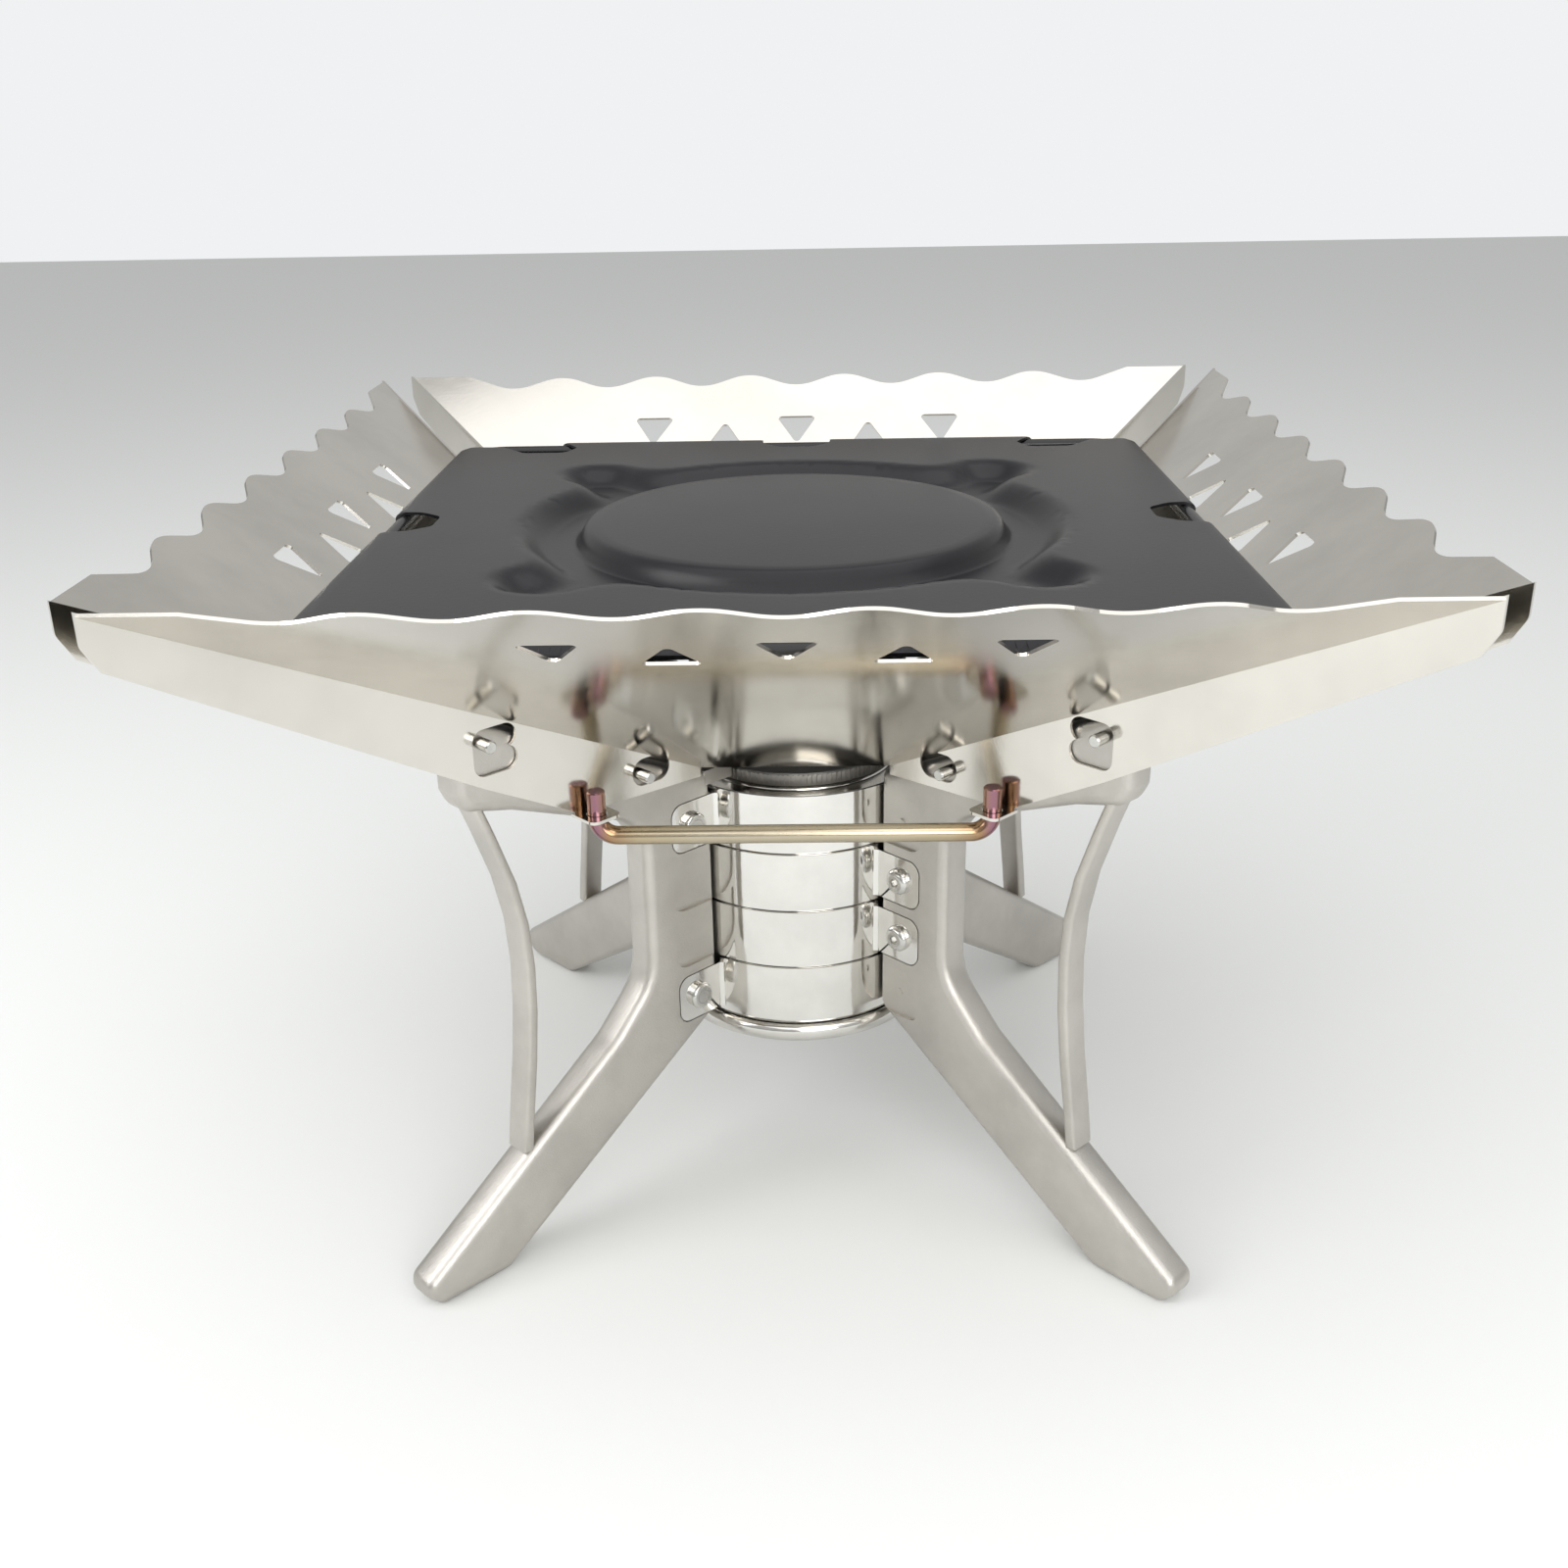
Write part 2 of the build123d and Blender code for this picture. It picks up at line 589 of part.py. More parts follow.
# Tray plate: pressed sheet with a moat round the raised middle, recesses towards the corners,
# and a hem along each side that is rolled round the wire
with BuildPart() as tray:
    with BuildSketch(Plane.XY.offset(tray_top_z - tray_sheet)) as plate:
        Rectangle(2 * wire_half, 2 * wire_half)
        Circle(moat_radius, mode=Mode.SUBTRACT)
    extrude(amount=tray_sheet)
    with BuildSketch(Plane.XZ) as pressing:
        with BuildLine():
            Polyline((0, tray_top_z + dome_crown), (dome_radius - 6, tray_top_z + dome_crown * 0.3),
                     (dome_radius, tray_top_z - moat_depth), (moat_radius - 4, tray_top_z - moat_depth),
                     (moat_radius, tray_top_z), (moat_radius + 0.5, tray_top_z),
                     (moat_radius + 0.5, tray_top_z - tray_sheet), (moat_radius, tray_top_z - tray_sheet),
                     (moat_radius - 4, tray_top_z - moat_depth - tray_sheet),
                     (dome_radius - 1, tray_top_z - moat_depth - tray_sheet),
                     (dome_radius - 7, tray_top_z + dome_crown * 0.3 - tray_sheet),
                     (0, tray_top_z + dome_crown - tray_sheet), close=True)
        make_face()
    revolve(axis=Axis.Z)
    for turn in range(4):
        along = outward(45 + 90 * turn)
        recess_middle = (recess_start + recess_end) / 2
        pan_plane = Plane(origin=(along[0] * recess_middle, along[1] * recess_middle, tray_top_z),
                          x_dir=(along[0], along[1], 0), z_dir=(0, 0, 1))
        with BuildSketch(pan_plane.offset(-recess_depth - tray_sheet)):
            SlotOverall(recess_end - recess_start, recess_width - 4)
        extrude(amount=recess_depth, taper=-20)
        with BuildSketch(pan_plane.offset(-recess_depth)):
            SlotOverall(recess_end - recess_start - 2 * tray_sheet, recess_width - 4 - 2 * tray_sheet)
        extrude(amount=recess_depth + 1, taper=-20, mode=Mode.SUBTRACT)
    for turn in range(4):
        out = outward(90 * turn)
        across = (-out[1], out[0], 0)
        hem_plane = Plane(origin=(out[0] * wire_half - across[0] * hem_length / 2,
                                  out[1] * wire_half - across[1] * hem_length / 2, wire_z),
                          x_dir=(out[0], out[1], 0), z_dir=across)
        with BuildSketch(hem_plane):
            Circle(hem_radius)
            Circle(hem_radius - tray_sheet, mode=Mode.SUBTRACT)
            with Locations((-hem_radius, -hem_radius)):
                Rectangle(2 * hem_radius, 2 * hem_radius, mode=Mode.SUBTRACT)
        extrude(amount=hem_length)
        edge_plane = Plane(origin=(out[0] * wire_half, out[1] * wire_half, 0),
                           x_dir=across, z_dir=(0, 0, 1))
        with BuildSketch(edge_plane.offset(wire_z - 2 * hem_radius)):
            SlotOverall(hem_notch, hem_notch * 0.8)
        extrude(amount=4 * hem_radius, mode=Mode.SUBTRACT)
save(tray.part, "tray_plate")
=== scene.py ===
from math import cos, degrees, pi, radians, sin, sqrt

import bmesh
import bpy
from mathutils import Matrix, Vector
from mathutils.geometry import delaunay_2d_cdt


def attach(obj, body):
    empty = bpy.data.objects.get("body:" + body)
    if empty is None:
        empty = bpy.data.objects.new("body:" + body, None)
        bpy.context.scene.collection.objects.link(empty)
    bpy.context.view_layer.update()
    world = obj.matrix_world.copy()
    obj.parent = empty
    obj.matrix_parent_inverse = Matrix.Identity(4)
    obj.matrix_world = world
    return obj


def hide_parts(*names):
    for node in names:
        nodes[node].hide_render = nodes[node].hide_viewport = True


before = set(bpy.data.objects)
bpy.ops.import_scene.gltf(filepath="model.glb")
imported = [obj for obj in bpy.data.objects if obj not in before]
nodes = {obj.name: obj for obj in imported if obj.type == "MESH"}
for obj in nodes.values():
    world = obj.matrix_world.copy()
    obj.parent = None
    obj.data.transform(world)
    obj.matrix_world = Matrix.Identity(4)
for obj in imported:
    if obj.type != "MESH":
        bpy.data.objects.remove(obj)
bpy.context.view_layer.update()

# The camera stands a little above the rim, in front of the side that has the lock rod, and
# looks down on the tray. Its place and lens follow the photograph.
camera_place = Vector((0.00775, -0.5539, 0.3640))
camera_yaw, camera_pitch, camera_roll = -0.0227, -0.3955, -0.0187
image_side = 1600
focal_pixels = 1670.27
ahead = Vector((sin(camera_yaw) * cos(camera_pitch), cos(camera_yaw) * cos(camera_pitch), sin(camera_pitch)))
level = Vector((cos(camera_yaw), -sin(camera_yaw), 0.0))
upright = level.cross(ahead)
across = level * cos(camera_roll) + upright * sin(camera_roll)
upwards = upright * cos(camera_roll) - level * sin(camera_roll)
camera_data = bpy.data.cameras.new("camera")
camera_data.sensor_width = 36.0
camera_data.lens = focal_pixels / image_side * camera_data.sensor_width
camera = bpy.data.objects.new("camera", camera_data)
bpy.context.scene.collection.objects.link(camera)
camera.matrix_world = Matrix((
    (across.x, upwards.x, -ahead.x, camera_place.x),
    (across.y, upwards.y, -ahead.y, camera_place.y),
    (across.z, upwards.z, -ahead.z, camera_place.z),
    (0.0, 0.0, 0.0, 1.0)))
bpy.context.scene.camera = camera
bpy.context.scene.view_settings.view_transform = "Standard"


# A pale tent of cloth: a plain floor, and a world that is white to the camera and a soft
# gradient of greys in the metal. Two large lamps hang over it and one stands in front.
def new_tree(material_name):
    """A material with an empty node tree, and its tree."""
    material = bpy.data.materials.new(material_name)
    material.use_nodes = True
    material.node_tree.nodes.clear()
    return material, material.node_tree


def add_node(tree, kind, **inputs):
    """Adds a node and sets its named inputs and properties."""
    node = tree.nodes.new(kind)
    for name, value in inputs.items():
        label = name.replace("_", " ")
        if label in node.inputs:
            node.inputs[label].default_value = value
        else:
            setattr(node, name, value)
    return node


floor_mesh = bpy.data.meshes.new("floor")
floor_mesh.from_pydata([(-4, -4, 0), (4, -4, 0), (4, 4, 0), (-4, 4, 0)], [], [(0, 1, 2, 3)])
floor = bpy.data.objects.new("floor", floor_mesh)
bpy.context.scene.collection.objects.link(floor)
floor_material, tree = new_tree("floor_cloth")
output = tree.nodes.new("ShaderNodeOutputMaterial")
surface = add_node(tree, "ShaderNodeBsdfPrincipled", Base_Color=(0.80, 0.81, 0.80, 1), Roughness=0.75)
tree.links.new(surface.outputs[0], output.inputs["Surface"])
floor_mesh.materials.append(floor_material)

world = bpy.data.worlds.new("tent")
bpy.context.scene.world = world
world.use_nodes = True
tree = world.node_tree
tree.nodes.clear()
output = tree.nodes.new("ShaderNodeOutputWorld")
coordinate = tree.nodes.new("ShaderNodeTexCoord")
split = tree.nodes.new("ShaderNodeSeparateXYZ")
tree.links.new(coordinate.outputs["Generated"], split.inputs[0])
ramp = tree.nodes.new("ShaderNodeValToRGB")
ramp.color_ramp.elements[0].position = 0.0
ramp.color_ramp.elements[0].color = (0.62, 0.62, 0.61, 1)
ramp.color_ramp.elements[1].position = 1.0
ramp.color_ramp.elements[1].color = (0.95, 0.96, 0.97, 1)
for place, grey in ((0.42, 0.74), (0.51, 0.50), (0.58, 0.90)):
    stop = ramp.color_ramp.elements.new(place)
    stop.color = (grey, grey, grey * 0.98, 1)
height = add_node(tree, "ShaderNodeMapRange")
height.inputs["From Min"].default_value = -1.0
height.inputs["From Max"].default_value = 1.0
tree.links.new(split.outputs["Z"], height.inputs["Value"])
tree.links.new(height.outputs[0], ramp.inputs[0])
light_path = tree.nodes.new("ShaderNodeLightPath")
lit = tree.nodes.new("ShaderNodeBackground")
lit.inputs["Strength"].default_value = 0.62
seen = tree.nodes.new("ShaderNodeBackground")
seen.inputs["Color"].default_value = (0.87, 0.88, 0.89, 1)
seen.inputs["Strength"].default_value = 1.0
mix = tree.nodes.new("ShaderNodeMixShader")
tree.links.new(ramp.outputs[0], lit.inputs["Color"])
tree.links.new(light_path.outputs["Is Camera Ray"], mix.inputs[0])
tree.links.new(lit.outputs[0], mix.inputs[1])
tree.links.new(seen.outputs[0], mix.inputs[2])
tree.links.new(mix.outputs[0], output.inputs["Surface"])

for lamp_name, place, aim, size, power in (
        ("lamp_over", (0.15, -0.35, 1.30), (0.0, 0.0, 0.1), 2.0, 13.0),
        ("lamp_left", (-1.0, -0.5, 0.85), (0.0, 0.0, 0.15), 0.8, 7.0),
        ("lamp_front", (0.35, -1.25, 0.55), (0.0, 0.0, 0.12), 0.7, 6.0)):
    lamp_data = bpy.data.lights.new(lamp_name, "AREA")
    lamp_data.size = size
    lamp_data.energy = power
    lamp = bpy.data.objects.new(lamp_name, lamp_data)
    bpy.context.scene.collection.objects.link(lamp)
    lamp.location = place
    lamp.rotation_euler = (Vector(aim) - Vector(place)).to_track_quat("-Z", "Y").to_euler()


# Cast legs: one alloy casting each, blasted to a satin grain with a few faint darker
# patches. The slim strut is cast on, and the straps' tabs lie in shallow pockets.
patch_dimming = 0.9625


def metal(name, colour, roughness, grain_size, grain_depth, patch=0.06, patch_size=0.03, rough_spread=0.08):
    """A metal with fine grain in its bump, and slow patches in its colour and roughness."""
    material, tree = new_tree(name)
    output = tree.nodes.new("ShaderNodeOutputMaterial")
    surface = add_node(tree, "ShaderNodeBsdfPrincipled", Metallic=1.0)
    tree.links.new(surface.outputs[0], output.inputs["Surface"])
    coordinate = tree.nodes.new("ShaderNodeTexCoord")
    patches = add_node(tree, "ShaderNodeTexNoise", Scale=1.0 / patch_size, Detail=5.0, Roughness=0.6)
    tree.links.new(coordinate.outputs["Object"], patches.inputs["Vector"])
    tint = tree.nodes.new("ShaderNodeValToRGB")
    tint.color_ramp.elements[0].position = 0.36
    tint.color_ramp.elements[0].color = tuple(value * (1 - patch) * patch_dimming for value in colour) + (1,)
    tint.color_ramp.elements[1].position = 0.62
    tint.color_ramp.elements[1].color = tuple(colour) + (1,)
    tree.links.new(patches.outputs["Fac"], tint.inputs[0])
    tree.links.new(tint.outputs[0], surface.inputs["Base Color"])
    gloss = tree.nodes.new("ShaderNodeMapRange")
    gloss.inputs["From Min"].default_value = 0.3
    gloss.inputs["From Max"].default_value = 0.7
    gloss.inputs["To Min"].default_value = roughness - rough_spread / 2
    gloss.inputs["To Max"].default_value = roughness + rough_spread / 2
    tree.links.new(patches.outputs["Fac"], gloss.inputs["Value"])
    tree.links.new(gloss.outputs[0], surface.inputs["Roughness"])
    grain = add_node(tree, "ShaderNodeTexNoise", Scale=1.0 / grain_size, Detail=3.0, Roughness=0.7)
    tree.links.new(coordinate.outputs["Object"], grain.inputs["Vector"])
    bump = add_node(tree, "ShaderNodeBump", Strength=grain_depth, Distance=0.0002)
    tree.links.new(grain.outputs["Fac"], bump.inputs["Height"])
    tree.links.new(bump.outputs[0], surface.inputs["Normal"])
    return material


def dress(material, *names):
    """Gives CAD nodes a material in place of their plain one."""
    for name in names:
        mesh = nodes[name].data
        mesh.materials.clear()
        mesh.materials.append(material)


cast_metal = metal("blasted_casting", (0.60, 0.575, 0.535), 0.40, 0.0007, 0.55, patch=0.12, patch_size=0.035)


def rounded_outline(corners, step=9.0):
    """Points of a closed outline in mm, each corner (x, y, radius) turned into an arc."""
    points = []
    for number, (x, y, radius) in enumerate(corners):
        here = Vector((x, y))
        before = Vector(corners[number - 1][:2]) - here
        after = Vector(corners[(number + 1) % len(corners)][:2]) - here
        if radius <= 0:
            points.append(here)
            continue
        half = before.angle(after) / 2
        set_back = min(radius / max(1e-6, abs(sin(half) / cos(half))), 0.49 * min(before.length, after.length))
        radius = set_back * sin(half) / cos(half)
        centre = here + (before.normalized() + after.normalized()).normalized() * (radius / sin(half))
        first = here + before.normalized() * set_back - centre
        sweep = (here + after.normalized() * set_back - centre).angle_signed(first)
        count = max(2, int(abs(degrees(sweep)) / step))
        for k in range(count + 1):
            turn = sweep * k / count
            points.append(centre + Matrix.Rotation(turn, 2) @ first)
    return points


def thick_plate(name, outline, half_thickness, edge_round):
    """A flat casting from its outline in mm, with round edges: X out, Y up, made a mesh."""
    curve = bpy.data.curves.new(name, "CURVE")
    curve.dimensions = "2D"
    curve.fill_mode = "BOTH"
    curve.bevel_depth = edge_round / 1000
    curve.bevel_resolution = 3
    curve.extrude = (half_thickness - edge_round) / 1000
    curve.offset = -edge_round / 1000
    spline = curve.splines.new("POLY")
    spline.points.add(len(outline) - 1)
    for point, place in zip(spline.points, outline):
        point.co = (place[0] / 1000, place[1] / 1000, 0, 1)
    spline.use_cyclic_u = True
    maker = bpy.data.objects.new(name, curve)
    bpy.context.scene.collection.objects.link(maker)
    bpy.context.view_layer.update()
    mesh = bpy.data.meshes.new_from_object(maker.evaluated_get(bpy.context.evaluated_depsgraph_get()))
    bpy.data.objects.remove(maker)
    whole = bmesh.new()
    whole.from_mesh(mesh)
    bmesh.ops.remove_doubles(whole, verts=whole.verts, dist=1e-6)
    bmesh.ops.recalc_face_normals(whole, faces=whole.faces)
    whole.to_mesh(mesh)
    whole.free()
    return mesh


def placed(name, mesh, matrix, material):
    """An object at the origin whose mesh already stands in its place."""
    mesh.transform(matrix)
    mesh.materials.clear()
    mesh.materials.append(material)
    thing = bpy.data.objects.new(name, mesh)
    bpy.context.scene.collection.objects.link(thing)
    return thing


def cut(thing, cutter):
    """Takes one closed mesh out of another for good."""
    tool = bpy.data.objects.new("cutter", cutter)
    bpy.context.scene.collection.objects.link(tool)
    knife = thing.modifiers.new("cut", "BOOLEAN")
    knife.operation = "DIFFERENCE"
    knife.solver = "EXACT"
    knife.object = tool
    bpy.context.view_layer.update()
    result = bpy.data.meshes.new_from_object(thing.evaluated_get(bpy.context.evaluated_depsgraph_get()))
    thing.modifiers.remove(knife)
    bpy.data.objects.remove(tool)
    thing.data = result


def smooth_faces(mesh, limit=32):
    """Shades a mesh smooth, with the edges over the limit in degrees kept sharp."""
    whole = bmesh.new()
    whole.from_mesh(mesh)
    for face in whole.faces:
        face.smooth = True
    for edge in whole.edges:
        edge.smooth = len(edge.link_faces) == 2 and edge.calc_face_angle(0.0) < radians(limit)
    whole.to_mesh(mesh)
    whole.free()


band_heights = (70.5, 92.5, 114.5, 136.5)
leg_thickness = 13.0
arm_slope = 0.69717


def fold_height(radius):
    """Height in mm of the panels' fold line at a distance from the column."""
    return 157.0 + ((radius + 7.9) / sqrt(2) - 43.0) * arm_slope


def arm_top(radius):
    """Height in mm of the upper arm's top edge."""
    return fold_height(radius) - 2.5


leg_outline = rounded_outline(
    [(47.0, arm_top(52.9), 4.2), (47.0, 62.0, 5.0), (144.2, 0, 4.2), (171.0, 0, 4.2), (176.0, 5.0, 4.2),
     (176.0, 10.0, 6.0), (93.8, 66.7, 16.0), (77.0, 84.0, 20.0), (77.0, 143.0, 16.0), (127.0, 163.5, 12.0),
     (144.0, 168.0, 6.0), (147.0, 174.0, 4.2), (147.0, arm_top(147.0), 7.0), (54.0, arm_top(54.0), 8.0)])
sole_notches = (150.5, 155.0, 159.5, 164.0)
strut_line = [(144.3, 176.0), (137.6, 158.0), (131.5, 140.0), (128.2, 124.0), (127.2, 108.0), (127.8, 92.0),
              (129.6, 74.0), (132.8, 52.0), (134.2, 40.5)]
strut_depth = 4.0
strut_outline = [Vector(p) for p in strut_line] + [Vector((x - strut_depth, y - 1.0)) for x, y in reversed(strut_line)]
leg_places = {"leg_front_left": (225, "outer_frame"), "leg_front_right": (315, "inner_frame"),
              "leg_rear_right": (45, "outer_frame"), "leg_rear_left": (135, "inner_frame")}
upright_plate = Matrix.Rotation(pi / 2, 4, "X")
for leg_name, (leg_angle, body) in leg_places.items():
    turn = Matrix.Rotation(radians(leg_angle), 4, "Z")
    used = (0, 3) if body == "outer_frame" else (1, 2)
    leg = placed("cast_" + leg_name, thick_plate(leg_name, leg_outline, leg_thickness / 2, 3.6),
                 upright_plate, cast_metal)
    cutters = bmesh.new()
    for side in (-1, 1):
        for number, height in enumerate(band_heights):
            pocket = rounded_outline([(40, height - 9.2, 0), (65.8, height - 9.2, 4.7),
                                      (65.8, height + 9.2, 4.7), (40, height + 9.2, 0)])
            shape = [cutters.verts.new((x / 1000, side * 0.0053, z / 1000)) for x, z in pocket]
            face = cutters.faces.new(shape)
            grown = bmesh.ops.extrude_face_region(cutters, geom=[face])
            moved = [part for part in grown["geom"] if isinstance(part, bmesh.types.BMVert)]
            bmesh.ops.translate(cutters, verts=moved, vec=(0, side * 0.004, 0))
            hole_radius = 0.0028 if number in used else 0.0012
            depth = 0.006 if number in used else 0.0012
            bmesh.ops.create_cone(
                cutters, cap_ends=True, segments=24, radius1=hole_radius, radius2=hole_radius, depth=depth,
                matrix=Matrix.Translation((0.0565, side * 0.0054, height / 1000)) @ upright_plate)
    for place in sole_notches:
        notch = bmesh.ops.create_cube(cutters, size=1.0)["verts"]
        for vert in notch:
            low = vert.co.z < 0
            vert.co = Vector(((place + (1.5 if low else 0.7) * (1 if vert.co.x > 0 else -1)) / 1000,
                              0.01 if vert.co.y > 0 else -0.01, -0.001 if low else 0.0012))
    bmesh.ops.recalc_face_normals(cutters, faces=cutters.faces)
    cutter = bpy.data.meshes.new("pockets")
    cutters.to_mesh(cutter)
    cutters.free()
    cut(leg, cutter)
    strut = thick_plate("strut", strut_outline, 5.0, 1.3)
    strut.transform(upright_plate)
    both = bmesh.new()
    both.from_mesh(leg.data)
    both.from_mesh(strut)
    if body == "outer_frame":
        horn = bmesh.ops.create_cube(both, size=1.0)["verts"]
        top = (arm_top(52.9) - 0.3) / 1000
        for vert in horn:
            vert.co = Vector((0.0375 if vert.co.x < 0 else 0.050, 0.0063 if vert.co.y > 0 else -0.0063,
                              0.149 if vert.co.z < 0 else top))
    both.to_mesh(leg.data)
    both.free()
    leg.data.transform(turn)
    leg.data.materials.clear()
    leg.data.materials.append(cast_metal)
    smooth_faces(leg.data)
    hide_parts(leg_name)
    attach(leg, body)

# Straps: half rings of stainless strip, mirror polished, held by screws through their tabs.
strap_metal = metal("mirror_strip", (0.80, 0.785, 0.75), 0.07, 0.0015, 0.05, patch=0.05, patch_size=0.02,
                    rough_spread=0.05)
dress(strap_metal, *[name for name in nodes if name.startswith("strap_")])

# Button head screws, sleeve nuts and plain pins: turned stainless, lightly polished.
screw_metal = metal("turned_steel", (0.66, 0.65, 0.62), 0.18, 0.0006, 0.15, patch=0.15, patch_size=0.004)
dress(screw_metal, *[name for name in nodes if name.startswith(("screws_", "nuts_", "pegs_"))])

# Canister: a deep drawn stainless cup with a neck, its base ring and the ring on its
# shoulder, all polished.
canister_metal = metal("drawn_steel", (0.70, 0.685, 0.65), 0.12, 0.0008, 0.08, patch=0.08, patch_size=0.02)
dress(canister_metal, "canister_tube", "canister_base", "neck_ring")

# Cap: turned from bar, the top blasted, the rim cut with a straight knurl.
cap_metal = metal("blasted_cap", (0.50, 0.48, 0.45), 0.38, 0.0005, 0.6, patch=0.10, patch_size=0.02)
cap_profile = [(0, 149.4), (33.2, 149.4), (33.3, 146.8), (36.0, 146.8), (36.0, 150.9), (35.6, 151.4), (0, 151.4)]
turned_cap = bmesh.new()
cap_steps = 96
rings = []
for radius, height in cap_profile[1:-1]:
    rings.append([turned_cap.verts.new((radius / 1000 * cos(2 * pi * k / cap_steps),
                                        radius / 1000 * sin(2 * pi * k / cap_steps), height / 1000))
                  for k in range(cap_steps)])
for low, high in zip(rings, rings[1:]):
    for k in range(cap_steps):
        turned_cap.faces.new((low[k], low[k - 1], high[k - 1], high[k]))
turned_cap.faces.new(rings[0])
turned_cap.faces.new(rings[-1][::-1])
bmesh.ops.recalc_face_normals(turned_cap, faces=turned_cap.faces)
cap_mesh = bpy.data.meshes.new("cap_body")
turned_cap.to_mesh(cap_mesh)
turned_cap.free()
cap_body = placed("cap_body", cap_mesh, Matrix.Identity(4), cap_metal)
smooth_faces(cap_body.data)


def ring_tree(name, material):
    """Geometry Nodes: small upright ridges set round a circle."""
    tree = bpy.data.node_groups.new(name, "GeometryNodeTree")
    for label, kind, value in (("Count", "NodeSocketInt", 110), ("Radius", "NodeSocketFloat", 0.036),
                               ("Ridge width", "NodeSocketFloat", 0.001), ("Ridge depth", "NodeSocketFloat", 0.001),
                               ("Ridge height", "NodeSocketFloat", 0.004), ("Lift", "NodeSocketFloat", 0.149)):
        tree.interface.new_socket(label, in_out="INPUT", socket_type=kind).default_value = value
    tree.interface.new_socket("Geometry", in_out="OUTPUT", socket_type="NodeSocketGeometry")
    given = tree.nodes.new("NodeGroupInput")
    result = tree.nodes.new("NodeGroupOutput")
    circle = tree.nodes.new("GeometryNodeMeshCircle")
    points = tree.nodes.new("GeometryNodeInstanceOnPoints")
    ridge = tree.nodes.new("GeometryNodeMeshCube")
    size = tree.nodes.new("ShaderNodeCombineXYZ")
    facing = tree.nodes.new("GeometryNodeInputPosition")
    aim = tree.nodes.new("FunctionNodeAlignRotationToVector")
    aim.axis = "X"
    realize = tree.nodes.new("GeometryNodeRealizeInstances")
    shift = tree.nodes.new("GeometryNodeTransform")
    rise = tree.nodes.new("ShaderNodeCombineXYZ")
    finish = tree.nodes.new("GeometryNodeSetMaterial")
    finish.inputs["Material"].default_value = material
    for source, target in (
            (given.outputs["Count"], circle.inputs["Vertices"]), (given.outputs["Radius"], circle.inputs["Radius"]),
            (given.outputs["Ridge depth"], size.inputs["X"]), (given.outputs["Ridge width"], size.inputs["Y"]),
            (given.outputs["Ridge height"], size.inputs["Z"]), (size.outputs[0], ridge.inputs["Size"]),
            (circle.outputs["Mesh"], points.inputs["Points"]), (ridge.outputs["Mesh"], points.inputs["Instance"]),
            (facing.outputs[0], aim.inputs["Vector"]), (aim.outputs[0], points.inputs["Rotation"]),
            (points.outputs[0], realize.inputs[0]), (realize.outputs[0], shift.inputs["Geometry"]),
            (given.outputs["Lift"], rise.inputs["Z"]), (rise.outputs[0], shift.inputs["Translation"]),
            (shift.outputs[0], finish.inputs["Geometry"]), (finish.outputs[0], result.inputs[0])):
        tree.links.new(source, target)
    return tree


knurl_tree = ring_tree("straight_knurl", cap_metal)
knurl = bpy.data.objects.new("cap_knurl", bpy.data.meshes.new("cap_knurl"))
bpy.context.scene.collection.objects.link(knurl)
growing = knurl.modifiers.new("knurl", "NODES")
growing.node_group = knurl_tree
for label, value in (("Count", 130), ("Radius", 0.03605), ("Ridge width", 0.0009), ("Ridge depth", 0.0009),
                     ("Ridge height", 0.0036), ("Lift", 0.1490)):
    growing[knurl_tree.interface.items_tree[label].identifier] = value
bpy.context.view_layer.update()
knurl_mesh = bpy.data.meshes.new_from_object(knurl.evaluated_get(bpy.context.evaluated_depsgraph_get()))
knurl.modifiers.remove(growing)
knurl.data = knurl_mesh
for thing in (cap_body, knurl):
    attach(thing, "screw_cap")
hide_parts("cap")
seal_material, tree = new_tree("seal_rubber")
output = tree.nodes.new("ShaderNodeOutputMaterial")
surface = add_node(tree, "ShaderNodeBsdfPrincipled", Base_Color=(0.03, 0.03, 0.03, 1), Roughness=0.7)
tree.links.new(surface.outputs[0], output.inputs["Surface"])
dress(seal_material, "cap_seal")

# Side panels: cut and folded stainless sheet with a rolled finish that mirrors softly,
# slightly uneven in tone. They hang on the legs' pins.
panel_metal = metal("rolled_sheet", (0.74, 0.71, 0.655), 0.13, 0.0012, 0.05, patch=0.10, patch_size=0.06,
                    rough_spread=0.10)
dress(panel_metal, "panel_front", "panel_right", "panel_rear", "panel_left")

# Lock rod: polished round bar, its ends tinted bronze and violet by heat.
rod_metal, tree = new_tree("tinted_rod")
output = tree.nodes.new("ShaderNodeOutputMaterial")
surface = add_node(tree, "ShaderNodeBsdfPrincipled", Metallic=1.0, Roughness=0.2)
tree.links.new(surface.outputs[0], output.inputs["Surface"])
coordinate = tree.nodes.new("ShaderNodeTexCoord")
split = tree.nodes.new("ShaderNodeSeparateXYZ")
tree.links.new(coordinate.outputs["Object"], split.inputs[0])
side_distance = add_node(tree, "ShaderNodeMath", operation="ABSOLUTE")
tree.links.new(split.outputs["X"], side_distance.inputs[0])
reach = tree.nodes.new("ShaderNodeMapRange")
reach.inputs["From Min"].default_value = 0.030
reach.inputs["From Max"].default_value = 0.066
tree.links.new(side_distance.outputs[0], reach.inputs["Value"])
heat = tree.nodes.new("ShaderNodeValToRGB")
heat.color_ramp.elements[0].position = 0.0
heat.color_ramp.elements[0].color = (0.50, 0.44, 0.33, 1)
heat.color_ramp.elements[1].position = 1.0
heat.color_ramp.elements[1].color = (0.30, 0.17, 0.08, 1)
